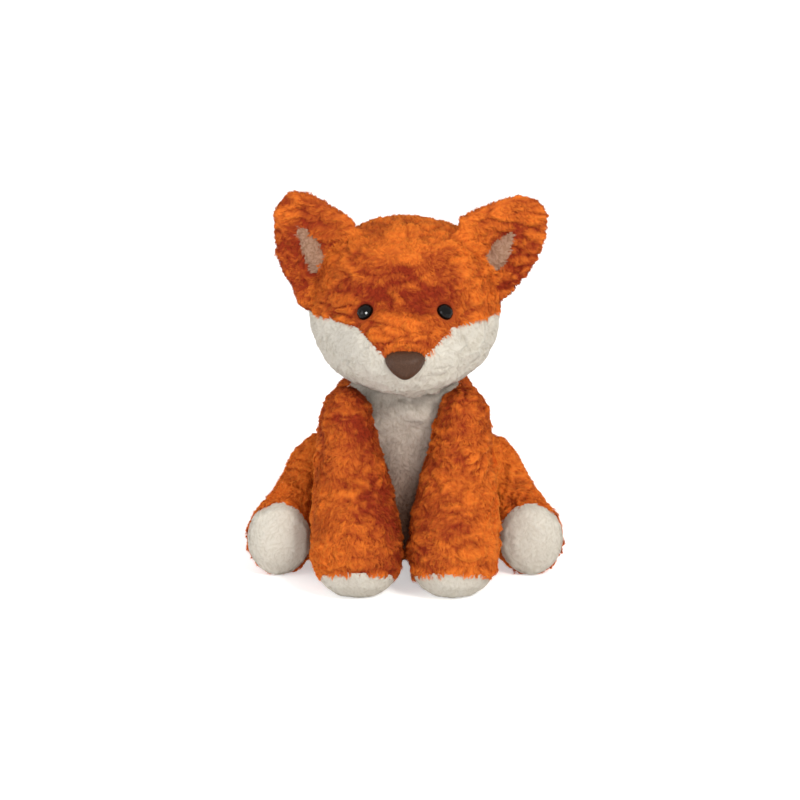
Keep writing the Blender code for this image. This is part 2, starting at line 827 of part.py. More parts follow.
def make_front_legs(skins):
    far = torso_height + overrun
    torso = torso_form("torso", -seam_gap)
    ball = shoulder_ball("ball", SIDES["left"], seam_gap)
    combine(torso, ball)
    skin = front_leg_form("front_leg_skin_left")
    hollow = front_leg_form("hollow", wall, FILLING_FACETS, FILLING_RINGS)
    mouth = rod("mouth", front_leg_mouth_radius, 0.0, overrun, FILLING_FACETS)
    place = (shoulder_out, -shoulder_forward, shoulder_height)
    move_mesh(mouth, aim(place, (0.0, 1.0, 0.0)))
    filling = front_leg_form("front_leg_stuffing_left", wall + filling_gap, FILLING_FACETS,
                             FILLING_RINGS)
    combine(skin, hollow)
    sit_flat(skin)
    pad = copy_object(skin, "front_paw_pad_left")
    toe = -front_paw_forward - front_paw_half_depth
    lower = block("lower", (-far, -far, -far), (far, far, 0.0))
    upper = block("upper", (-far, -far, -seam_gap), (far, far, far))
    tilt = Matrix.Translation((0.0, toe, front_sole_height)) @ Matrix.Rotation(
        -front_sole_tilt, 4, "X")
    move_mesh(lower, tilt)
    move_mesh(upper, tilt)
    combine(skin, lower)
    combine(pad, upper)
    combine(skin, mouth)
    cut_clear((skin, filling), torso, place, (1.0, 0.0, 0.0),
              np.linspace(0.0, front_leg_swing, 5))
    drop(torso, ball, hollow, mouth, lower, upper)
    both_sides(skins, front_leg_skin=skin, front_paw_pad=pad, front_leg_stuffing=filling)


def make_hind_legs(skins):
    far = torso_height + overrun
    inner = block("inner", (-far, -far, -far), (hip_seam + seam_gap, far, far))
    skin = hind_leg_form("hind_leg_skin_left")
    hollow = hind_leg_form("hollow", wall, FILLING_FACETS, FILLING_RINGS)
    filling = hind_leg_form("hind_leg_stuffing_left", wall + filling_gap, FILLING_FACETS,
                            FILLING_RINGS)
    combine(skin, hollow)
    combine(skin, inner)
    combine(filling, inner)
    sit_flat(skin)
    pad = copy_object(skin, "hind_foot_pad_left")
    edge = -foot_forward + hind_sole_depth
    front = block("front", (-far, -far, -far), (far, edge, far))
    back = block("back", (-far, edge - seam_gap, -far), (far, far, far))
    combine(skin, front)
    combine(pad, back)
    drop(inner, hollow, front, back)
    both_sides(skins, hind_leg_skin=skin, hind_foot_pad=pad, hind_leg_stuffing=filling)


def both_sides(skins, **pieces):
    """Keeps pieces made on the left, and their mirror images on the right."""
    for name, item in pieces.items():
        skins[name + "_left"] = item
        skins[name + "_right"] = mirror(item, name + "_right")


def make_tail(skins):
    skin = tail_form("tail_skin")
    hollow = tail_form("hollow", wall, tail_filling_facets, tail_filling_rings)
    filling = tail_form("tail_stuffing", wall + filling_gap, tail_filling_facets,
                        tail_filling_rings)
    combine(skin, hollow)
    mouth = rod("mouth", tail_root_radius - wall, -overrun, 0.0, tail_filling_facets)
    move_mesh(mouth, aim((0.0, tail_root, tail_root_height), (0.0, 1.0, 0.0)))
    combine(skin, mouth)
    sit_flat(skin)
    tip = copy_object(skin, "tail_tip")
    far = tail_root + tail_length + overrun
    edge = tail_root + tail_length - tail_tip_length
    front = block("front", (-far, -far, -far), (far, edge, far))
    back = block("back", (-far, edge - seam_gap, -far), (far, far, far))
    combine(tip, front)
    combine(skin, back)
    drop(hollow, mouth, front, back)
    skins.update(tail_skin=skin, tail_tip=tip, tail_stuffing=filling)


def finishes():
    orange = plain_material("orange_pile", (0.62, 0.17, 0.035), 0.95)
    cream = plain_material("cream_pile", (0.72, 0.64, 0.53), 0.95)
    beige = plain_material("beige_short_pile", (0.36, 0.20, 0.12), 0.95)
    black = plain_material("black_moulded", (0.010, 0.008, 0.006), 0.12)
    brown = plain_material("brown_moulded", (0.095, 0.045, 0.028), 0.42)
    fibre = plain_material("polyester_fibre", (0.80, 0.80, 0.78), 1.0)
    washer = plain_material("white_moulded", (0.75, 0.75, 0.75), 0.5)
    canvas = plain_material("pouch_cotton", (0.55, 0.50, 0.42), 0.9)
    return {
        "torso_skin": orange, "chest_panel": cream, "head_crown_skin": orange,
        "cheek_panel": cream, "ear_lining": beige, "ear": orange, "eye_washer": washer,
        "eye": black, "nose_washer": washer, "nose": brown, "seat_pellet_pouch": canvas,
        "front_leg_skin": orange, "front_paw_pad": cream, "hind_leg_skin": orange,
        "hind_foot_pad": cream, "tail_skin": orange, "tail_tip": cream,
        "torso_stuffing": fibre, "head_stuffing": fibre, "front_leg_stuffing": fibre,
        "hind_leg_stuffing": fibre, "tail_stuffing": fibre,
    }


def hinges():
    """Where each moving part of the fox turns, with the start of its pieces' names."""
    places = {
        "head": ((0.0, -torso_lean, torso_height), ("head", "cheek", "eye", "nose")),
        "tail": ((0.0, tail_root, tail_root_height), ("tail",)),
    }
    for name, side in SIDES.items():
        places["ear_" + name] = (ear_hinge(side)[0], ("ear_" + name, "ear_lining_" + name))
        places["front_leg_" + name] = (
            (side * shoulder_out, -shoulder_forward, shoulder_height),
            tuple(f"front_{piece}_{name}" for piece in ("leg_skin", "paw_pad", "leg_stuffing")))
        places["hind_leg_" + name] = (
            (side * hip_seam, -hip_forward, hip_height),
            tuple(f"hind_{piece}_{name}" for piece in ("leg_skin", "foot_pad", "leg_stuffing")))
    return places


def hang(items):
    """Parents each moving piece to an empty on its hinge, with its own origin there too."""
    pivots = {}
    for name, (place, starts) in hinges().items():
        pivot = bpy.data.objects.new(name + "_pivot", None)
        pivot.location = place
        pivot.empty_display_size = seam_gap
        bpy.context.collection.objects.link(pivot)
        pivots[name] = pivot
        for item_name, item in items.items():
            if item_name.startswith(starts):
                item.data.transform(Matrix.Translation(-Vector(place)))
                item.parent = pivot
    for side in SIDES:
        ear = pivots["ear_" + side]
        ear.parent = pivots["head"]
        ear.location -= pivots["head"].location


def finish(items):
    colours = finishes()
    for name, item in items.items():
        item.name = name
        item.data.name = name
        kind = name.removesuffix("_left").removesuffix("_right")
        item.data.materials.clear()
        item.data.materials.append(colours[kind])
        for face in item.data.polygons:
            face.material_index = 0
        item.data.shade_smooth()
        item.data.set_sharp_from_angle(angle=SMOOTH_ANGLE)


def main():
    clear_scene()
    items = {}
    make_torso(items)
    make_head(items)
    make_ears(items)
    make_front_legs(items)
    make_hind_legs(items)
    make_tail(items)
    finish(items)
    hang(items)


main()
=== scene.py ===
"""A sitting plush fox, dressed in its pile.

Each stuffed form takes its shape from the frame's solids. On it lie thousands of short curved
fibres, which follow the tufts and creases that such a pile falls into. Metres, +Z up; the fox
faces -Y.
"""

import json
import math

import bmesh
import bpy
import numpy as np
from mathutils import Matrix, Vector
from mathutils.bvhtree import BVHTree
from mathutils.kdtree import KDTree


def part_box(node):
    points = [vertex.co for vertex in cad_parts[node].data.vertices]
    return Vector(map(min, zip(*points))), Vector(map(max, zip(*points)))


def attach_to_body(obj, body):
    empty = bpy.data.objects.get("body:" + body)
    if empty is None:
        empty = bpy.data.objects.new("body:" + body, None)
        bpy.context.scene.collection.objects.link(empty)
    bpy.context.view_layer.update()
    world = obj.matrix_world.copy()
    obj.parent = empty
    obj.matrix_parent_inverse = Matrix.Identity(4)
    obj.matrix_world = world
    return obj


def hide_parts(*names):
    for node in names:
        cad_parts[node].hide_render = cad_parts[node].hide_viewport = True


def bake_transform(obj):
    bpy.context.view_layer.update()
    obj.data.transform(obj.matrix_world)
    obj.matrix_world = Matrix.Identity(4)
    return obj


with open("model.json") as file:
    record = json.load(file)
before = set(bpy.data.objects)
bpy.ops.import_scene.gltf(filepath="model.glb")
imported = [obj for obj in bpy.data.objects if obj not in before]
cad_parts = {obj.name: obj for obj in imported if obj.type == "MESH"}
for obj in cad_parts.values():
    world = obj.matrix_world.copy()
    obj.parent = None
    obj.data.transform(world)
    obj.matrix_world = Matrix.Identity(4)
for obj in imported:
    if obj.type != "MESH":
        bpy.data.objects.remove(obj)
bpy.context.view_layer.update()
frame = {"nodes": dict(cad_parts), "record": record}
SIDES = {"left": 1.0, "right": -1.0}
BODY_OF = {node: body for body, nodes in frame["record"]["behaviour"]["bodies"].items()
           for node in nodes}


def middle(node):
    low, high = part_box(node)
    return (np.array(low) + np.array(high)) / 2


def half_size(node):
    low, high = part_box(node)
    return (np.array(high) - np.array(low)) / 2


HEAD = middle("head_stuffing")


# Materials

def linear(code):
    """An sRGB hex colour as the linear one that shaders take."""
    parts = [int(code[place:place + 2], 16) / 255 for place in (1, 3, 5)]
    return [part / 12.92 if part <= 0.04045 else ((part + 0.055) / 1.055) ** 2.4
            for part in parts] + [1.0]


def add(tree, kind, settings=None, links=None):
    """Adds a node; links feed its sockets.

    settings are its properties, its sockets' values or, as "stops", the colours of its ramp.
    """
    node = tree.nodes.new("ShaderNode" + kind)
    for name, value in (settings or {}).items():
        if name == "stops":
            elements = node.color_ramp.elements
            while len(elements) < len(value):
                elements.new(0.5)
            for element, (place, code) in zip(elements, value):
                element.position = place
                element.color = linear(code)
        elif isinstance(name, str) and hasattr(node, name):
            setattr(node, name, value)
        else:
            node.inputs[name].default_value = value
    for name, source in (links or {}).items():
        tree.links.new(source, node.inputs[name])
    return node


# How far along a fibre its three colours stand
FIBRE_STOPS = (0.0, 0.5, 1.0)
MM_IN_METRE = 1000.0


def start_material(name):
    material = bpy.data.materials.new(name)
    material.use_nodes = True
    material.node_tree.nodes.clear()
    return material, material.node_tree


def finish_material(tree, shader):
    add(tree, "OutputMaterial", links={"Surface": shader.outputs[0]})


def pile_material(name, lit, shaded, sheen):
    """Dyed polyester pile: matt, with painted shade that darkens it towards its roots, and with a
    soft sheen at grazing angles.

    The lit colours and the shaded ones are painted light and painted shade: each the colours at
    the root, halfway and at the tip, of fibres that stand in the light and of those in creases and
    shadow. The attribute "tone" leads from one to the other.
    """
    material, tree = start_material(name)
    along = add(tree, "Attribute", {"attribute_name": "along"}).outputs["Fac"]
    tone = add(tree, "Attribute", {"attribute_name": "tone"}).outputs["Fac"]
    bright, dark = (add(tree, "ValToRGB", {"stops": list(zip(FIBRE_STOPS, colours))},
                        {"Fac": along}).outputs["Color"] for colours in (lit, shaded))
    mixed = add(tree, "Mix", {"data_type": "RGBA"}, {0: tone, 6: dark, 7: bright})
    shader = add(tree, "BsdfPrincipled", {
        "Roughness": 0.85, "IOR": 1.5, "Specular IOR Level": 0.1, "Sheen Weight": sheen,
        "Sheen Roughness": 0.5, "Sheen Tint": linear(lit[-1])},
        {"Base Color": mixed.outputs[2]})
    # A fibre is thin, so from its underside it shows the light that falls on its upper side
    under = add(tree, "NewGeometry").outputs["Backfacing"]
    through = add(tree, "BsdfTranslucent", links={"Color": mixed.outputs[2]})
    finish_material(tree, add(tree, "MixShader", links={
        "Fac": under, 1: shader.outputs["BSDF"], 2: through.outputs["BSDF"]}))
    return material


def moulded_material(name, colours, roughness, specular, grain_mm):
    """Moulded plastic: one colour right through, with a fine grain from its mould.

    specular is low where the photograph's piece shows little of the white round it.
    """
    material, tree = start_material(name)
    place = add(tree, "TexCoord").outputs["Object"]
    grain = add(tree, "TexNoise", {"Scale": MM_IN_METRE / grain_mm, "Detail": 3.0},
                {"Vector": place})
    bump = add(tree, "Bump", {"Strength": 0.1, "Distance": 0.0001},
               {"Height": grain.outputs["Fac"]})
    shade = add(tree, "ValToRGB", {"stops": [(0.35, colours[0]), (0.65, colours[1])]},
                {"Fac": grain.outputs["Fac"]})
    shader = add(tree, "BsdfPrincipled", {
        "Roughness": roughness, "IOR": 1.49, "Specular IOR Level": specular},
        {"Base Color": shade.outputs["Color"], "Normal": bump.outputs["Normal"]})
    finish_material(tree, shader)
    return material


def fibre_material(name, colours, size_mm):
    """Loose filling or plain cotton: matt, mottled where its fibres bunch."""
    material, tree = start_material(name)
    place = add(tree, "TexCoord").outputs["Object"]
    mottle = add(tree, "TexNoise", {"Scale": MM_IN_METRE / size_mm, "Detail": 6.0},
                 {"Vector": place})
    shade = add(tree, "ValToRGB", {"stops": [(0.3, colours[0]), (0.7, colours[1])]},
                {"Fac": mottle.outputs["Fac"]})
    bump = add(tree, "Bump", {"Strength": 0.6, "Distance": 0.0006},
               {"Height": mottle.outputs["Fac"]})
    shader = add(tree, "BsdfPrincipled", {"Roughness": 0.95, "IOR": 1.5, "Sheen Weight": 0.3},
                 {"Base Color": shade.outputs["Color"], "Normal": bump.outputs["Normal"]})
    finish_material(tree, shader)
    return material


# Fields

# Random values at the corners of a cubic lattice, found by mixing the corner's whole numbers
LATTICE_SIZE = 4096
LATTICE = np.random.default_rng(7).uniform(-1.0, 1.0, LATTICE_SIZE)
PRIMES = (73856093, 19349663, 83492791)
MIX_SHIFT = 13

# How far apart the noises of two seeds lie in the lattice, and each noise's seed
SEED_STEP = 17.31
DRIFT_SEEDS = (1, 2, 3)
DIMPLE_SEED = 4
SWIRL_SEED = 21
FINE_SWIRL_SEED = 22
BEND_SEED = 23
MOTTLE_SEED = 31
SLACK_SEED = 41

# Tufts within tufts: the size of each as a share of the first, and its seed
TUFT_LEVELS = ((1.0, 5), (0.55, 8), (0.3, 11))

# How far tufts wander, as a share of their size; how high their backs rise over the creases,
# how blunt the creases are, and how deep they lie
TUFT_DRIFT = 0.5
TUFT_RISE = 2.4
TUFT_ROUND = 0.003
CREASE_DEPTH = 0.75


def noise(points, size, seed):
    """Smooth noise from -1 to 1, whose lumps are about as wide as size."""
    places = points / size + SEED_STEP * seed
    cells = np.floor(places).astype(np.int64)
    part = places - cells
    part = part * part * (3.0 - 2.0 * part)
    total = np.zeros(points.shape[:-1])
    for corner in range(8):
        mixed, weight = 0, 1.0
        for axis, prime in enumerate(PRIMES):
            step = corner >> axis & 1
            mixed = mixed ^ (cells[..., axis] + step) * prime
            weight = weight * (part[..., axis] if step else 1.0 - part[..., axis])
        total += weight * LATTICE[(mixed ^ mixed >> MIX_SHIFT) % LATTICE_SIZE]
    return total


def tufts(points, style):
    """How the pile bunches: above 0 on the round back of a tuft, well below 0 between tufts.

    Tufts are wider across the lie of the pile than along it, and come and go over the cloth.
    """
    size = style["tuft"]
    places = points * style["squeeze"]
    drift = np.stack([noise(places, size * 0.8, seed) for seed in DRIFT_SEEDS], axis=-1)
    places = places + TUFT_DRIFT * size * drift
    total = style["dimple"] * noise(places, size * 1.3, DIMPLE_SEED)
    for share, seed in TUFT_LEVELS:
        field = noise(places, size * share, seed)
        there = np.clip(style["creased"] + noise(points, size * 1.7 * share, seed + 1), 0.0, 1.2)
        total += share * there * (TUFT_RISE * np.sqrt(field ** 2 + TUFT_ROUND) - CREASE_DEPTH)
    return total


def unit(vectors):
    return vectors / np.maximum(np.linalg.norm(vectors, axis=-1, keepdims=True), 1e-12)


def flat_to(vectors, normals):
    """The vectors, laid into the surface that the normals stand on."""
    return unit(vectors - normals * np.sum(vectors * normals, axis=-1, keepdims=True))


def turned(vectors, normals, angles):
    """Vectors turned about the normals that they are square to."""
    across = np.cross(normals, vectors)
    return vectors * np.cos(angles)[..., None] + across * np.sin(angles)[..., None]


# Forms

# Metres: the cells that a form is remeshed in, and how far seams are filled. Then the rounds
# of smoothing that take the facets away.
FORM_CELL = 0.0014
EAR_CELL = 0.0012
FILLING_CELL = 0.0025
NOSE_CELL = 0.0004
SEAM_SWELL = 0.0025
FORM_ROUNDS = 8
EAR_ROUNDS = 4
HEAD_ROUNDS = 4
FILLING_ROUNDS = 4
NOSE_ROUNDS = 12

# A step towards the neighbours evens the facets, and a slightly longer one back keeps the size
STEP_IN = 0.60
STEP_BACK = -0.61

# Metres: beyond this, a node's box is enough to tell how far it lies
CLOSE = 0.012


def largest_part(points, quads):
    """Leaves out small shells closed up inside a form."""
    label = np.arange(len(points))
    while True:
        low = label[quads].min(axis=1)
        fresh = label.copy()
        for corner in range(4):
            np.minimum.at(fresh, quads[:, corner], low)
        fresh = fresh[fresh]
        if np.array_equal(fresh, label):
            break
        label = fresh
    names, counts = np.unique(label, return_counts=True)
    keep = label == names[np.argmax(counts)]
    index = np.cumsum(keep) - 1
    return points[keep], index[quads[keep[quads[:, 0]]]]


def smoothed(points, quads, rounds):
    """Evens out the facets without shrinking the form."""
    ends = np.vstack([quads[:, [0, 1]], quads[:, [1, 2]], quads[:, [2, 3]], quads[:, [3, 0]]])
    counts = np.bincount(ends.ravel(), minlength=len(points))[:, None]
    for turn in range(2 * rounds):
        sums = np.stack([
            np.bincount(ends[:, 0], points[ends[:, 1], axis], len(points))
            + np.bincount(ends[:, 1], points[ends[:, 0], axis], len(points))
            for axis in range(3)], axis=1)
        points = points + (STEP_BACK if turn % 2 else STEP_IN) * (sums / counts - points)
    return points


def vertex_normals(points, quads):
    faces = np.cross(points[quads[:, 2]] - points[quads[:, 0]],
                     points[quads[:, 3]] - points[quads[:, 1]])
    sums = np.stack([np.bincount(quads.ravel(), np.repeat(faces[:, axis], 4), len(points))
                     for axis in range(3)], axis=1)
    return unit(sums)


def remeshed(mesh, cell, rounds):
    """The outer surface of a mesh of several closed parts, as points and quads."""
    item = bpy.data.objects.new("remeshed", mesh)
    bpy.context.collection.objects.link(item)
    remesh = item.modifiers.new("remesh", "REMESH")
    remesh.mode = "VOXEL"
    remesh.voxel_size = cell
    fine = item.evaluated_get(bpy.context.evaluated_depsgraph_get()).to_mesh()
    points = np.empty(len(fine.vertices) * 3)
    fine.vertices.foreach_get("co", points)
    quads = np.empty(len(fine.loops), dtype=np.int64)
    fine.loops.foreach_get("vertex_index", quads)
    points, quads = largest_part(points.reshape(-1, 3), quads.reshape(-1, 4))
    bpy.data.objects.remove(item, do_unlink=True)
    return smoothed(points, quads, rounds), quads


def solid_form(names, cell, rounds):
    """The outer surface of CAD nodes taken together."""
    edit = bmesh.new()
    for name in names:
        edit.from_mesh(frame["nodes"][name].data)
    mesh = bpy.data.meshes.new("nodes")
    edit.to_mesh(mesh)
    edit.free()
    return remeshed(mesh, cell, rounds)


def joined(surfaces):
    """Several surfaces as one, with its points and quads."""
    points, quads, start = [], [], 0
    for some_points, some_quads in surfaces:
        points.append(some_points)
        quads.append(some_quads + start)
        start += len(some_points)
    return np.concatenate(points), np.concatenate(quads)


def grown_together(surfaces, cell, rounds, swell):
    """Surfaces joined with a fillet: each is swollen, and the swelling is taken off the whole.

    That closes the gaps between them up to twice as wide as the swell.
    """
    points, quads = joined([(points + swell * vertex_normals(points, quads), quads)
                            for points, quads in surfaces])
    mesh = bpy.data.meshes.new("swollen")
    mesh.from_pydata(points.tolist(), [], quads.tolist())
    points, quads = remeshed(mesh, cell, rounds)
    points = points - swell * vertex_normals(points, quads)
    return smoothed(points, quads, rounds), quads


def node_tree(name):
    mesh = frame["nodes"][name].data
    return BVHTree.FromPolygons([vert.co for vert in mesh.vertices],
                                [face.vertices for face in mesh.polygons])


def nearest_node(points, coats):
    """For each point, which of the coats' CAD nodes lies nearest."""
    gaps = []
    for name, coat in coats.items():
        tree = node_tree(name)
        low, high = (np.array(corner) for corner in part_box(name))
        far = np.linalg.norm(np.maximum(np.maximum(low - points, points - high), 0.0), axis=1)
        close = far < CLOSE
        far[close] = [tree.find_nearest(point)[3] for point in points[close]]
        gaps.append(far + coat["trim"](points) if coat["trim"] else far)
    return np.argmin(np.array(gaps), axis=0)


def make_mesh(name, points, faces, material, values=None, normals=None, uvs=None):
    """A mesh object from arrays, quickly. faces all have the same count of corners."""
    mesh = bpy.data.meshes.new(name)
    corners = faces.shape[1]
    mesh.vertices.add(len(points))
    mesh.vertices.foreach_set("co", np.ascontiguousarray(points, dtype=np.float32).ravel())
    mesh.loops.add(faces.size)
    mesh.loops.foreach_set("vertex_index", faces.astype(np.int32).ravel())
    mesh.polygons.add(len(faces))
    mesh.polygons.foreach_set("loop_start", np.arange(0, faces.size, corners, dtype=np.int32))
    mesh.polygons.foreach_set("use_smooth", np.ones(len(faces), dtype=bool))
    if uvs is not None:
        layer = mesh.uv_layers.new(name="OFBake")
        layer.data.foreach_set("uv", uvs.astype(np.float32).ravel())
    for label, numbers in (values or {}).items():
        attribute = mesh.attributes.new(label, "FLOAT", "POINT")
        attribute.data.foreach_set("value", numbers.astype(np.float32))
    mesh.update(calc_edges=True)
    mesh.validate()
    if normals is not None:
        mesh.normals_split_custom_set_from_vertices(normals.astype(np.float32))
    mesh.materials.append(material)
    item = bpy.data.objects.new(name, mesh)
    bpy.context.collection.objects.link(item)
    return item


# Pile

# Fibres in one piece, which keeps it under the export's limit on triangles
MOST_FIBRES = 62000

# At a fibre's root, bend and tip: how far along it they are, and how high they stand
REACH_SHARES = np.array([0.0, 0.55, 1.0])
RISE_SHARES = np.array([-1.0, 0.6, 1.0])

# A fibre is a ribbon that ends in a point: which row each of its five corners is in, how far
# across the ribbon it stands on the map, and the triangles between them
ROWS = [0, 0, 1, 1, 2]
ACROSS = np.array([0.1, 0.9, 0.1, 0.9, 0.5])
RIBBON = np.array([(0, 1, 3), (0, 3, 2), (2, 3, 4)])

# Its width at the root and the bend, and the shortest and longest guide, as shares
WIDTH_SHARES = [0.9, 1.0]
LENGTH_SHARES = (0.6, 1.4)

# The backing has the fibres' colour near their roots, with a little more painted shade beneath the
# pile
BACKING_SHADE = 0.1
BACKING_ALONG = 0.3

# Metres: how wide the patches are that differ in tone
MOTTLE_SIZE = 0.016


def scatter(points, triangles, spacing, rng):
    """Random places on a surface, each with about spacing squared to itself."""
    corners = points[triangles]
    areas = np.linalg.norm(np.cross(corners[:, 1] - corners[:, 0], corners[:, 2] - corners[:, 0]),
                           axis=1) / 2
    count = int(areas.sum() / spacing ** 2)
    picks = rng.choice(len(triangles), size=count, p=areas / areas.sum())
    first, second = rng.random((2, count))
    over = first + second > 1.0
    first[over], second[over] = 1.0 - first[over], 1.0 - second[over]
    weights = np.stack([1.0 - first - second, first, second], axis=1)
    return triangles[picks], weights


def blended(values, corners, weights):
    return np.einsum("nkd,nk->nd", values[corners], weights)


def lay_guides(form, triangles, tree, style, flow, rng):
    """Lines over the surface that the fibres near them follow: places, and the way up there."""
    corners, weights = scatter(form["points"], triangles, style["guide_spacing"], rng)
    spot = blended(form["points"], corners, weights)
    upright = unit(blended(form["normals"], corners, weights))
    angles = style["swirl"] * (noise(spot, style["swirl_size"], SWIRL_SEED)
                               + 0.9 * noise(spot, style["swirl_size"] * 0.45, FINE_SWIRL_SEED))
    angles += rng.normal(0.0, style["stray"], len(spot))
    heading = turned(flat_to(flow(spot), upright), upright, angles)
    bend = style["curl"] * (noise(spot, style["swirl_size"] * 0.5, BEND_SEED)
                            + rng.normal(0.0, 0.6, len(spot)))
    reach = style["length"] * (1.0 + 0.2 * rng.normal(0.0, 1.0, len(spot))).clip(*LENGTH_SHARES)
    lines, ups = [spot], [upright]
    for share in np.diff(REACH_SHARES):
        hits = [tree.find_nearest(goal) for goal in spot + heading * (reach * share)[:, None]]
        spot = np.array([hit[0] for hit in hits])
        upright = unit(upright + np.array([hit[1] for hit in hits]))
        heading = turned(flat_to(heading, upright), upright, bend)
        lines.append(spot)
        ups.append(upright)
    return np.stack(lines, 1), np.stack(ups, 1)


def clear_of(places, coat):
    """Which places lie outside the fittings that stand in the pile."""
    clear = np.ones(len(places), dtype=bool)
    for spot, radii in coat["bare"]:
        clear &= np.sum(((places - spot) / radii) ** 2, axis=1) > 1.0
    return clear


def tufted(places, coat):
    """The tufts' height, flattened close round the fittings so that the pile frames them."""
    calm = np.ones(places.shape[:-1])
    for spot, radii in coat["bare"]:
        off = np.linalg.norm((places - spot) / radii, axis=-1)
        calm = np.minimum(calm, np.clip(2.0 * (off - 1.0), 0.0, 1.0))
    return calm * tufts(places, coat["style"])


def grow_fibres(form, triangles, lines, coat, rng):
    """Fibres led by the guide nearest each root: paths, roots, normals there, and guides."""
    style = coat["style"]
    finder = KDTree(len(lines))
    for index, place in enumerate(lines[:, 0]):
        finder.insert(place, index)
    finder.balance()
    corners, weights = scatter(form["points"], triangles, style["spacing"], rng)
    roots = blended(form["points"], corners, weights)
    keep = clear_of(roots, coat)
    roots = roots[keep]
    root_ups = unit(blended(form["normals"], corners, weights)[keep])
    guide = np.array([finder.find(place)[1] for place in roots])
    size = (0.6 + 0.7 * rng.random(len(roots)))[:, None, None]
    path = roots[:, None] + size * (lines[guide] - lines[guide, :1])
    path -= ((roots - lines[guide, 0])[:, None] * style["gather"]
             * (REACH_SHARES ** 1.3)[None, :, None])
    keep = clear_of(path[:, 1], coat) & clear_of(path[:, 2], coat)
    return path[keep], roots[keep], root_ups[keep], guide[keep]


def tuft_slopes(path, way, side, coat):
    """The tufts' height along fibres, and their slope there, which is what the light shows."""
    style = coat["style"]
    step = style["tuft"] * 0.06
    height = tufted(path[:, 1:], coat)
    slopes = [(tufted(path[:, 1:] + step * along, coat) - height)[..., None] / step * along
              for along in (way[:, 1:], side[:, 1:])]
    height = np.concatenate([height[:, :1], height], axis=1)
    slope = (slopes[0] + slopes[1]) * style["relief"]
    slope /= np.maximum(np.linalg.norm(slope, axis=2, keepdims=True) / style["steepest"], 1.0)
    return height, np.concatenate([slope[:, :1], slope], axis=1)


def ribbon_corners(path, way, side, style, rng):
    """The corners of the ribbons that lie along paths, each rolled a little on its way."""
    count = len(path)
    roll = rng.normal(0.0, 0.3, (count, 1, 1))
    side = side * np.cos(roll) + np.cross(side, way) * np.sin(roll)
    width = style["width"] * (0.7 + 0.6 * rng.random(count))
    out = side[:, :2] * (width[:, None] * WIDTH_SHARES)[..., None] / 2
    return np.stack([path[:, 0] - out[:, 0], path[:, 0] + out[:, 0], path[:, 1] - out[:, 1],
                     path[:, 1] + out[:, 1], path[:, 2]], axis=1)


def own_squares(count):
    """Map places that give each of a piece's ribbons a square of its own."""
    columns = math.ceil(math.sqrt(count))
    squares = np.arange(count)
    return np.stack([(squares % columns)[:, None] + ACROSS,
                     (squares // columns)[:, None] + 0.1 + 0.8 * REACH_SHARES[ROWS]],
                    axis=2) / columns


def lay_pile(node, form, triangles, tree, coat, rng):
    """Fibres as thin ribbons, in as many pieces as they need."""
    style = coat["style"]
    lines, guide_ups = lay_guides(form, triangles, tree, style, coat["flow"], rng)
    path, roots, root_ups, guide = grow_fibres(form, triangles, lines, coat, rng)
    count = len(path)
    up = unit(guide_ups[guide] + root_ups[:, None])
    way = unit(np.gradient(path, axis=1))
    side = unit(np.cross(way, up))
    height, slope = tuft_slopes(path, way, side, coat)
    lean = rng.normal(0.0, style["jitter"], (len(lines), 3))[guide]
    face = unit(up - slope + lean[:, None])[:, ROWS]
    rise = style["lift"] * (1.0 + style["fuzz"] * rng.random(count) ** 8)
    path = path + up * (style["relief"] * height + rise[:, None] * RISE_SHARES)[..., None]
    path += rng.normal(0.0, style["fray"], (count, 1, 3)) * (REACH_SHARES ** 2)[None, :, None]
    verts = ribbon_corners(path, way, side, style, rng)
    # The tone: the coat's painted light, painted shade in the creases from the tufts' height, and
    # tone that differs at random over the cloth, between locks and between fibres
    tone = (coat["tint"](path[:, 2])[:, None] + style["depth"] * height
            + style["mottle"] * noise(roots, MOTTLE_SIZE, MOTTLE_SEED)[:, None]
            + style["lock"] * rng.normal(0.0, 1.0, len(lines))[guide][:, None]
            + style["speckle"] * rng.normal(0.0, 1.0, (count, 1)))
    tone = np.clip(tone, 0.0, 1.0)[:, ROWS]
    parts = max(1, math.ceil(count / MOST_FIBRES))
    for part in range(parts):
        chosen = np.arange(part, count, parts)
        number = len(chosen)
        faces = (np.arange(number)[:, None, None] * len(ROWS) + RIBBON).reshape(-1, 3)
        values = {"along": np.tile(REACH_SHARES[ROWS], number), "tone": tone[chosen].ravel()}
        item = make_mesh(f"{node}_pile_{part + 1}", verts[chosen].reshape(-1, 3), faces,
                         coat["material"], values, face[chosen].reshape(-1, 3),
                         own_squares(number).reshape(-1, 2)[faces.ravel()])
        attach(item, node, coat)


def attach(item, node, coat):
    """Lets a piece follow its node's body; an ear's piece only has its placement baked in."""
    if coat["sewn"] is None:
        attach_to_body(item, BODY_OF[node])
    else:
        BODY_OF[node]
        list(coat["sewn"])
        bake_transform(item)


def make_form(coats, surface):
    """A stuffed form, with the coat that each face of its surface wears."""
    points, quads = surface
    return {"points": points, "quads": quads, "normals": vertex_normals(points, quads),
            "label": nearest_node(points[quads].mean(axis=1), coats)}


def surface_tree(forms):
    """What the pile lies on: the surfaces of several forms together."""
    points, quads = joined([(form["points"], form["quads"]) for form in forms])
    return BVHTree.FromPolygons(points.tolist(), quads.tolist())


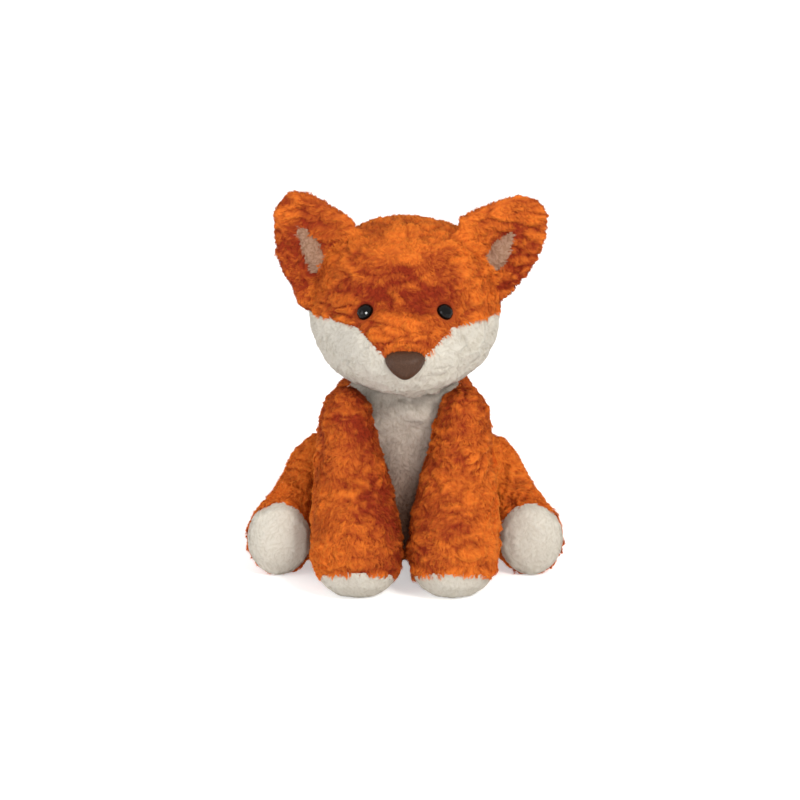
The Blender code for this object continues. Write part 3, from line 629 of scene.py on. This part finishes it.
def dress(coats, form, tree, seed):
    """Clothes a form: a backing skin in each coat's colour, with its pile on it."""
    points, quads, normals = form["points"], form["quads"], form["normals"]
    for index, (node, coat) in enumerate(coats.items()):
        style = coat["style"]
        mine = quads[form["label"] == index]
        used, inverse = np.unique(mine, return_inverse=True)
        height = tufted(points[used], coat)
        # The backing's tone: the coat's painted light, a little more painted shade beneath the
        # pile, and painted shade in the creases
        tone = np.clip(coat["tint"](points[used]) - BACKING_SHADE + style["depth"] * height,
                       0.0, 1.0)
        places = points[used] + normals[used] * (style["relief"] * height
                                                 - style["lift"])[:, None]
        along = np.full(len(used), BACKING_ALONG)
        skin = make_mesh(node + "_cloth", places, inverse.reshape(mine.shape),
                         coat["material"], {"along": along, "tone": tone})
        attach(skin, node, coat)
        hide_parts(node)
        triangles = np.concatenate([mine[:, [0, 1, 2]], mine[:, [0, 2, 3]]])
        lay_pile(node, form, triangles, tree, coat, np.random.default_rng(seed + index))


# How the pile lies. Heights on the head are in metres from its middle.

PARTING_START = 0.034
PARTING_FADE = 0.008

# How much fibres lean outwards for each metre that they are from the middle
HEAD_FAN = 18.0
TORSO_FAN = 6.0
LEG_FAN = 0.5 / 0.03


def ramped(values, start, fade):
    """0 up to start, 1 from start plus fade on, and a straight rise between them."""
    return np.clip((values - start) / fade, 0.0, 1.0)


def steady(points, x, y, z):
    """One direction at every point; x, y and z are each a number or one for each point."""
    return np.stack([np.broadcast_to(part, len(points)) for part in (x, y, z)], axis=1)


def head_flow(points):
    """Down and outwards over the skull, backwards on the crown."""
    away = points - HEAD
    top = ramped(away[:, 2], PARTING_START, PARTING_FADE)[:, None]
    down = steady(points, HEAD_FAN * away[:, 0], 0.15, -1.0)
    return down * (1.0 - top) + top * np.array([0.0, 1.0, 0.0])


def ear_places(points, name):
    """How far points lie towards an ear's tip and towards its upper rim, from -1 to 1."""
    away = (points - middle("ear_" + name)) / half_size("ear_" + name)
    outwards = SIDES[name] * away[:, 0]
    return (away[:, 2] + outwards) / 1.5, (away[:, 2] - outwards) / 1.1


def ear_flow(name):
    """Outwards over the ear's front, and backwards over its upper rim."""
    def flow(points):
        _, above = ear_places(points, name)
        over = ramped(above, 0.2, 0.4)[:, None]
        return steady(points, SIDES[name] * 0.9, 0.1, -0.55) + over * np.array([0.0, 1.6, 0.2])
    return flow


def down_flow(points):
    """Down the torso, a little outwards."""
    return steady(points, TORSO_FAN * points[:, 0], 0.0, -1.0)


def leg_flow(name):
    """Down the leg, fanning out over the paw."""
    leg = "front_leg_skin_" + name

    def flow(points):
        return steady(points, LEG_FAN * (points[:, 0] - middle(leg)[0]), -0.35, -1.0)
    return flow


def thigh_flow(side):
    """Down and forwards over the thigh to the foot, a little outwards."""
    def flow(points):
        return steady(points, side * 0.30, -0.45, -0.85)
    return flow


def tail_flow(points):
    """Along the tail to its tip."""
    return steady(points, 0.0, 1.0, -0.15)


# Painted light and shade on the pile: 0 is the shaded colour and 1 the lit one. Metres on the
# head are from its middle: heights, distances to each side, and how far each patch spreads.

CROWN_START = 0.026
CROWN_FADE = 0.020
BROW_HEIGHT = 0.017
BROW_SPREAD = 0.013
BROW_SIDE_SPREAD = 0.036
EYE_HEIGHT = 0.010
EYE_SIDE = 0.0257
EYE_SPREAD = 0.009
BRIDGE_HEIGHT = -0.004
BRIDGE_SPREAD = 0.012
BRIDGE_SIDE_SPREAD = 0.016
TEMPLE_START = 0.030
TEMPLE_FADE = 0.020
LEG_HALF_WIDTH = 0.025
BELLY_TOP = 0.050


def patch(values, place, spread):
    """1 at a place, fading smoothly to 0 away from it."""
    return np.exp(-((values - place) / spread) ** 2)


def head_painted_light(points):
    """Painted light on crown, bridge, temples and the lit side; painted shade at brow and eyes."""
    x, z = points[:, 0], points[:, 2] - HEAD[2]
    front = points[:, 1] < HEAD[1]
    crown = ramped(z, CROWN_START, CROWN_FADE)
    brow = patch(z, BROW_HEIGHT, BROW_SPREAD) * patch(x, 0.0, BROW_SIDE_SPREAD) * front
    eyes = patch(np.abs(x), EYE_SIDE, EYE_SPREAD) * patch(z, EYE_HEIGHT, EYE_SPREAD) * front
    bridge = patch(x, 0.0, BRIDGE_SIDE_SPREAD) * patch(z, BRIDGE_HEIGHT, BRIDGE_SPREAD) * front
    temple = ramped(np.abs(x), TEMPLE_START, TEMPLE_FADE) * front
    return (0.38 + 0.42 * crown - 0.30 * brow - 0.20 * eyes + 0.54 * bridge + 0.34 * temple
            + 1.5 * x)


def leg_painted_light(name):
    """Painted shade at the shoulder and towards the other leg; painted light on the paw."""
    leg = "front_leg_skin_" + name

    def tint(points):
        low = np.clip(1.0 - points[:, 2] / (2 * half_size(leg)[2]), 0.0, 1.0)
        outer = SIDES[name] * (points[:, 0] - middle(leg)[0]) / LEG_HALF_WIDTH
        return 0.27 + 0.06 * SIDES[name] + 0.52 * low ** 1.5 + 0.22 * outer
    return tint


def ear_painted_light(name):
    """Painted light along the upper rim and the tip, painted shade in the ear's hollow."""
    def tint(points):
        tip, above = ear_places(points, name)
        rim = np.maximum(ramped(above, 0.15, 0.4), ramped(tip, 0.5, 0.3))
        return 0.22 + 0.08 * SIDES[name] + 0.42 * rim
    return tint


# One level of painted light all over: 0 gives the shaded colours, 1 the lit ones
def even_painted_light(level):
    def tint(points):
        return np.full(len(points), level)
    return tint


def chest_painted_shade(points):
    """Dull at the bottom, where little light gets in between the legs."""
    return np.clip(0.15 + 9.5 * (points[:, 2] - BELLY_TOP), 0.0, 1.0)


# Styles of pile, in metres. Real pile fibres are about 0.05 mm wide. These are drawn as coarse
# as a lock of them, which is as fine as the render shows.
#   spacing, guide_spacing   between fibres, and between the guide lines that lead them
#   length, width            of a fibre
#   lift, fuzz               how high it stands, and how much higher a few stray ones do
#   fray, gather             how far tips scatter, and the share by which fibres close up in a lock
#   swirl, swirl_size        how far the lie of the pile turns, in radians, and over what size
#   stray, curl              how far guides turn by themselves, and bend along their length
#   tuft, squeeze            a tuft's size, and how much narrower it is along each axis
#   dimple, creased          how uneven the tufts' ground is, and how much of it has creases
#   relief, steepest         the tufts' height, and the steepest slope that light shows
#   jitter, depth            how far locks lean, and how much painted shade darkens the creases
#   mottle, lock, speckle    differences in tone: over the cloth, between locks and fibres
LONG = dict(spacing=0.00054, guide_spacing=0.0017, length=0.0034, lift=0.0004, fuzz=3.0,
            fray=0.0003, gather=0.50, width=0.00034, swirl=1.0, swirl_size=0.010, stray=0.50,
            curl=0.60, tuft=0.0095, squeeze=(1.0, 1.0, 1.8), dimple=0.5, creased=0.80,
            relief=0.0012, steepest=1.0, jitter=0.15, depth=0.44, mottle=0.20, lock=0.09,
            speckle=0.02)
FACE = dict(LONG, length=0.0030, tuft=0.0110, squeeze=(1.0, 1.0, 2.0))
BACK = dict(LONG, spacing=0.00076, width=0.00044)
TAIL = dict(LONG, squeeze=(1.0, 1.6, 1.0))
CREAM = dict(LONG, lift=0.00025, fuzz=2.0, fray=0.0002, tuft=0.013, squeeze=(1.0, 1.0, 1.4),
             dimple=0.9, creased=0.25, relief=0.0015, depth=0.03, mottle=0.03, lock=0.01,
             speckle=0.005, jitter=0.04)
TAIL_TIP = dict(CREAM, squeeze=TAIL["squeeze"])
SHORT = dict(CREAM, length=0.0030, fuzz=1.0, relief=0.0004)

# Orange and cream pile: dyed polyester, with painted light where lit and painted shade in creases
orange = pile_material("orange_polyester_pile",
                       ("#be5e20", "#cd6e26", "#da7d2e"), ("#742412", "#862c15", "#983619"),
                       0.1)
cream = pile_material("cream_polyester_pile",
                      ("#beb8ab", "#c5c0b5", "#ccc8bf"), ("#5a3c2a", "#6e4b38", "#805d48"),
                      0.15)
# Short beige pile: the same cloth sheared low, so it looks even and flat; painted light and shade
# too
beige = pile_material("beige_short_pile",
                      ("#866650", "#9a7c68", "#ae937f"), ("#6a4836", "#8a644c", "#a07c64"),
                      0.15)
# Polished black acrylic: deep, with one small sharp highlight
black = moulded_material("black_moulded_eye", ("#060403", "#090706"), 0.03, 0.16, 2.0)
# Brown vinyl from a grained mould: a broad dim shine
brown = moulded_material("brown_moulded_nose", ("#3d281c", "#493225"), 0.45, 0.18, 0.9)
# White polyethylene washers: plain, a little glossy
white = moulded_material("white_moulded_washer", ("#dededc", "#e8e8e6"), 0.5, 0.5, 1.0)
# Loose polyester fibre, bunched; and plain cotton round the pellets, with a visible weave
fibre = fibre_material("polyester_fibre_filling", ("#d8d8d4", "#f2f2ef"), 6.0)
cotton = fibre_material("cotton_pouch_cloth", ("#c2b7a3", "#d6ccb9"), 0.8)

# Metres, but for the slant and the strength: how far fibres keep off an eye, the strips where
# short pile makes way for long, and the two points that mark an ear's seam, from its middle
EYE_MARGIN = 0.0014
MUZZLE_STRIP = 0.006
LINING_STRIP = 0.008
LINING_SLANT = 0.33
TRIM_STRENGTH = 3.0
BEND_START = 0.018
BEND_END = 0.006

PILE_KINDS = {"orange": (orange, "orange_pile"), "cream": (cream, "cream_pile"),
              "beige": (beige, "beige_short_pile")}

# What stands in the pile: its middle, and its half sizes
FITTINGS = [(middle("nose"), half_size("nose"))]
for name in SIDES:
    low, high = (np.array(corner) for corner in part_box("eye_" + name))
    radius = (high[0] - low[0]) / 2
    place = np.array([(low[0] + high[0]) / 2, low[1] + radius, (low[2] + high[2]) / 2])
    FITTINGS.append((place, np.full(3, radius + EYE_MARGIN)))


# Seeds of the random places of fibres: the head's first, the body's first, and those a part has
HEAD_SEED = 100
BODY_SEED = 200
SEEDS_A_PART = 10


def coat(kind, style, tint, flow, bare=(), sewn=None, trim=None):
    """What a node wears: bare are fittings, sewn is where it is sewn on, trim where it ends early.
    """
    material, slot = PILE_KINDS[kind]
    return {"style": style, "tint": tint, "flow": flow, "material": material, "slot": slot,
            "bare": bare, "sewn": sewn, "trim": trim}


def cheek_trim(points):
    """Leaves the muzzle orange down to the nose's top, a little wider than the nose."""
    _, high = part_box("nose")
    over = np.minimum(high[0] + MUZZLE_STRIP - np.abs(points[:, 0]), points[:, 2] - high[2])
    return TRIM_STRENGTH * np.maximum(over, 0.0)


def lining_trim(name):
    """Lets the rim's long pile have a strip along the lining's outer edge, which slants."""
    low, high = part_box("ear_lining_" + name)
    inner = min(abs(low[0]), abs(high[0]))

    def trim(points):
        edge = inner + LINING_STRIP + LINING_SLANT * (points[:, 2] - low[2])
        return TRIM_STRENGTH * np.maximum(np.abs(points[:, 0]) - edge, 0.0)
    return trim


def ear_coats(name):
    """An ear's long pile and its lining's short pile."""
    base = middle("ear_" + name)
    inwards = unit(HEAD - base)
    sewn = (base + BEND_START * inwards, base + BEND_END * inwards)
    return {"ear_" + name: coat("orange", FACE, ear_painted_light(name), ear_flow(name), sewn=sewn),
            "ear_lining_" + name: coat("beige", SHORT, even_painted_light(0.6), ear_flow(name),
                                       sewn=sewn, trim=lining_trim(name))}


def dress_head():
    """Head and ears are one form, so that their pile runs on over the seams."""
    coats = {
        "head_crown_skin": coat("orange", FACE, head_painted_light, head_flow, bare=FITTINGS),
        "cheek_panel": coat("cream", CREAM, even_painted_light(0.97), head_flow, bare=FITTINGS,
                            trim=cheek_trim)}
    for name in SIDES:
        coats.update(ear_coats(name))
    skull = solid_form(["head_crown_skin", "cheek_panel", "head_stuffing"], FORM_CELL,
                       FORM_ROUNDS)
    ears = [solid_form(["ear_" + name, "ear_lining_" + name], EAR_CELL, EAR_ROUNDS)
            for name in SIDES]
    form = make_form(coats, grown_together([skull, *ears], EAR_CELL, HEAD_ROUNDS, SEAM_SWELL))
    dress(coats, form, surface_tree([form]), HEAD_SEED)


def body_parts():
    """The other stuffed parts: what each wears, and what its skin is filled with."""
    yield ({"torso_skin": coat("orange", BACK, even_painted_light(0.45), down_flow),
            "chest_panel": coat("cream", CREAM, chest_painted_shade, down_flow)},
           ["torso_stuffing", "seat_pellet_pouch"])
    yield ({"tail_skin": coat("orange", TAIL, even_painted_light(0.55), tail_flow),
            "tail_tip": coat("cream", TAIL_TIP, even_painted_light(0.97), tail_flow)},
           ["tail_stuffing"])
    for name in SIDES:
        yield ({f"front_leg_skin_{name}": coat("orange", LONG, leg_painted_light(name), leg_flow(name)),
                f"front_paw_pad_{name}": coat("cream", SHORT, even_painted_light(0.95), leg_flow(name))},
               [f"front_leg_stuffing_{name}"])
    for name, side in SIDES.items():
        # Painted light: the right thigh, in shadow away from the key lamp, is painted lighter
        yield ({f"hind_leg_skin_{name}": coat("orange", LONG, even_painted_light(0.95 - 0.05 * side),
                                              thigh_flow(side)),
                f"hind_foot_pad_{name}": coat("cream", SHORT, even_painted_light(0.97),
                                              thigh_flow(side))},
               [f"hind_leg_stuffing_{name}"])


def dress_body():
    """Each part has a form of its own, and their pile lies on all of them together."""
    dressed = [(coats, make_form(coats, solid_form([*coats, *inner], FORM_CELL, FORM_ROUNDS)))
               for coats, inner in body_parts()]
    tree = surface_tree([form for _, form in dressed])
    for place, (coats, form) in enumerate(dressed):
        dress(coats, form, tree, BODY_SEED + SEEDS_A_PART * place)


dress_head()
dress_body()


# Fillings and fittings

# Metres: how far a filling hangs back from its solid on average, and how wide its lumps are
SLACK = 0.0004
LUMP_SIZE = 0.008


def filling(node, material):
    """What a skin is stuffed with, bunched and a little slack."""
    points, quads = solid_form([node], FILLING_CELL, FILLING_ROUNDS)
    slack = SLACK + SLACK * noise(points, LUMP_SIZE, SLACK_SEED)
    points = points - vertex_normals(points, quads) * slack[:, None]
    item = make_mesh(node + "_fibre", points, quads, material)
    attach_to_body(item, BODY_OF[node])
    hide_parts(node)


for node in frame["nodes"]:
    if node.endswith("pouch"):
        filling(node, cotton)
    elif "stuffing" in node:
        filling(node, fibre)

nose = make_mesh("nose_moulding", *solid_form(["nose"], NOSE_CELL, NOSE_ROUNDS), brown)
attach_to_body(nose, "head")
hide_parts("nose")
for node, item in frame["nodes"].items():
    if node in ("eye_left", "eye_right"):
        kind, slot = black, "black_moulded"
    elif "washer" in node:
        kind, slot = white, "white_moulded"
    else:
        continue
    item.data.materials.clear()
    item.data.materials.append(kind)


# Stage, in metres and watts

AIM = (0.0, -0.02, 0.11)

# Each lamp's place, size, power and colour. The catch light gives the eyes their highlight.
LAMPS = {"key": ((0.75, -1.20, 1.05), 0.4, 18.2, "#fffcf8"),
         "fill": ((-1.2, -1.0, 0.5), 0.8, 8.6, "#fafaff"),
         "catch_light": ((0.15, -1.6, 0.52), 0.14, 4.0, "#fffefc")}
CAMERA_PLACE = (0.0, -1.5655, 0.5241)
CAMERA_TILT = math.radians(75.0)
CAMERA_LENS = 109.1
CAMERA_SHIFT = -0.00625
FLOOR_HALF_WIDTH = 6.0
FLOOR_GLOW = 0.46
WORLD_LIGHT = 0.66


def lamp(name, place, size, power, colour):
    """A soft square lamp that looks at the fox."""
    data = bpy.data.lights.new(name, "AREA")
    data.size = size
    data.energy = power
    data.color = linear(colour)[:3]
    item = bpy.data.objects.new(name, data)
    bpy.context.collection.objects.link(item)
    item.location = place
    item.rotation_euler = (Vector(AIM) - Vector(place)).to_track_quat("-Z", "Y").to_euler()


def background_rays(tree):
    """1 for the rays that see the background: the camera's, and reflected or refracted ones."""
    path = add(tree, "LightPath")
    seen = path.outputs["Is Camera Ray"]
    for kind in ("Is Glossy Ray", "Is Transmission Ray"):
        seen = add(tree, "Math", {"operation": "MAXIMUM"},
                   {0: seen, 1: path.outputs[kind]}).outputs[0]
    return seen


def plain_floor():
    """A pale floor that shows white to the camera but keeps the fox's shadow."""
    material, tree = start_material("pale_floor")
    glow = add(tree, "Math", {"operation": "MULTIPLY", 1: FLOOR_GLOW},
               {0: background_rays(tree)})
    shader = add(tree, "BsdfPrincipled", {"Base Color": linear("#f4f4f3"), "Roughness": 0.9,
                                          "Emission Color": linear("#ffffff")},
                 {"Emission Strength": glow.outputs[0]})
    finish_material(tree, shader)
    corners = FLOOR_HALF_WIDTH * np.array([[-1, -1, 0], [1, -1, 0], [1, 1, 0], [-1, 1, 0]])
    floor = make_mesh("floor", corners, np.array([[0, 1, 2, 3]]), material)


def white_world():
    """White as a background, and an even soft light on the fox."""
    world = bpy.data.worlds.new("white")
    bpy.context.scene.world = world
    world.use_nodes = True
    tree = world.node_tree
    tree.nodes.clear()
    light = add(tree, "Background", {"Color": linear("#ffffff"), "Strength": WORLD_LIGHT})
    seen = add(tree, "Background", {"Color": linear("#ffffff"), "Strength": 1.0})
    mixed = add(tree, "MixShader", links={"Fac": background_rays(tree), 1: light.outputs[0],
                                          2: seen.outputs[0]})
    add(tree, "OutputWorld", links={"Surface": mixed.outputs[0]})


plain_floor()
white_world()
for name, settings in LAMPS.items():
    lamp(name, *settings)

camera_data = bpy.data.cameras.new("camera")
camera_data.lens = CAMERA_LENS
camera_data.shift_x = CAMERA_SHIFT
camera = bpy.data.objects.new("camera", camera_data)
bpy.context.collection.objects.link(camera)
camera.location = CAMERA_PLACE
camera.rotation_euler = (CAMERA_TILT, 0.0, 0.0)
bpy.context.scene.camera = camera
bpy.context.scene.view_settings.view_transform = "Standard"
